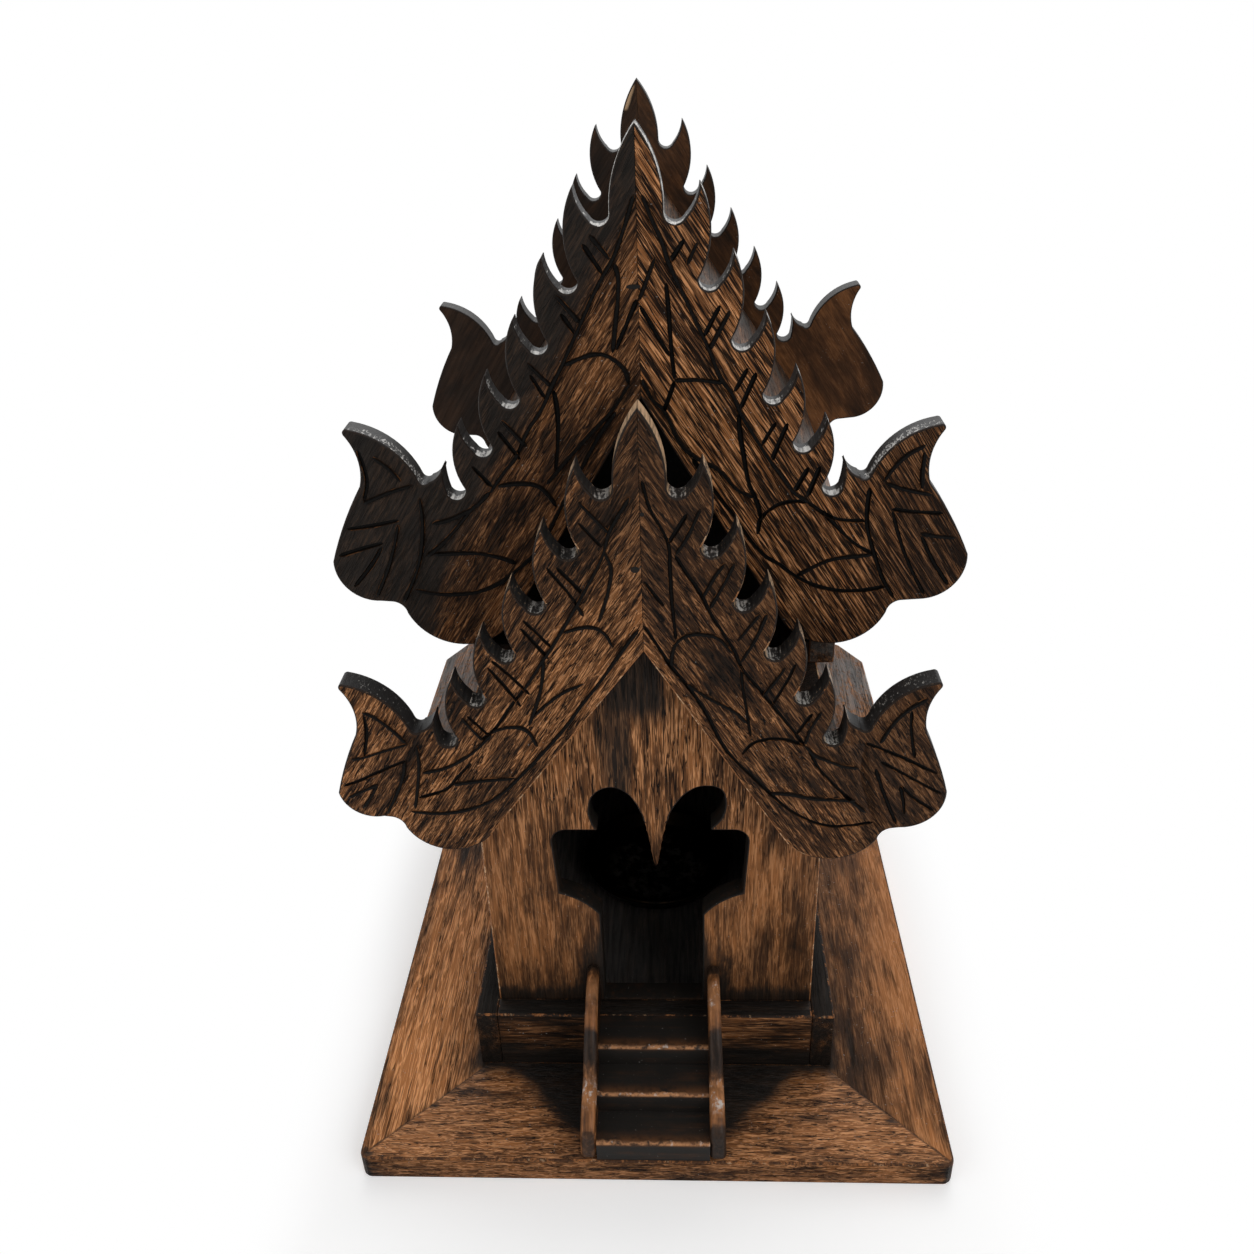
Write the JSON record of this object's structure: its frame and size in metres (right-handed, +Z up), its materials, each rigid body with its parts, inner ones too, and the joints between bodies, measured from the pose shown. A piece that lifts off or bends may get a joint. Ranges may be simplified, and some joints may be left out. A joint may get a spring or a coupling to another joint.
{
  "type": "incense burner",
  "caption": "Carved dark wooden incense burner shaped like a temple house, with flame-crested gables, a stair, a lift-off hall roof and a loose brass dish inside.",
  "frame": {"origin": "on the ground, at the middle of the base's underside", "axes": "+X to the right as seen from the front, +Y towards the back, +Z up; the doorway and stair face -Y"},
  "size_m": [0.15, 0.211, 0.2417],
  "materials": {
    "base_wood": "dark brown stain with worn orange-brown grain, satin",
    "plinth_wood": "dark brown stain, satin",
    "wall_wood": "brown stain, upright grain, satin",
    "stair_wood": "nearly black stain, worn to orange-brown on the edges",
    "gable_wood": "dark brown stain, incised carving, black sawn edges",
    "roof_wood": "dark brown stain, satin",
    "dish_brass": "aged brass, brushed, darkened by ash"
  },
  "bodies": {
    "house": {"base_front": "base_wood", "base_back": "base_wood", "base_left": "base_wood", "base_right": "base_wood", "floor_panel": "base_wood", "plinth_front": "plinth_wood", "plinth_back": "plinth_wood", "plinth_left": "plinth_wood", "plinth_right": "plinth_wood", "front_wall": "wall_wood", "back_wall": "wall_wood", "left_wall": "wall_wood", "right_wall": "wall_wood", "step_lower": "stair_wood", "step_middle": "stair_wood", "step_upper": "stair_wood", "stair_rail_left": "stair_wood", "stair_rail_right": "stair_wood", "lower_gable_left": "gable_wood", "lower_gable_right": "gable_wood", "porch_roof_left": "roof_wood", "porch_roof_right": "roof_wood", "porch_ridge_strip": "roof_wood", "porch_eave_left": "roof_wood", "porch_eave_right": "roof_wood"},
    "lid": {"upper_front_gable_left": "gable_wood", "upper_front_gable_right": "gable_wood", "upper_back_gable_left": "gable_wood", "upper_back_gable_right": "gable_wood", "hall_roof_left": "roof_wood", "hall_roof_right": "roof_wood", "hall_ridge_strip": "roof_wood", "hall_cheek_left": "roof_wood", "hall_cheek_right": "roof_wood", "hall_back_panel": "roof_wood", "lid_batten_left": "roof_wood", "lid_batten_right": "roof_wood"},
    "dish": {"incense_dish": "dish_brass"}
  },
  "joints": [
    {"name": "lid_lift", "type": "slide", "parent": "house", "child": "lid", "axis": [0, 0, 1], "range_m": [0, 0.09]},
    {"name": "dish_lift", "type": "slide", "parent": "house", "child": "dish", "axis": [0, 0, 1], "range_m": [0, 0.115]}
  ]
}
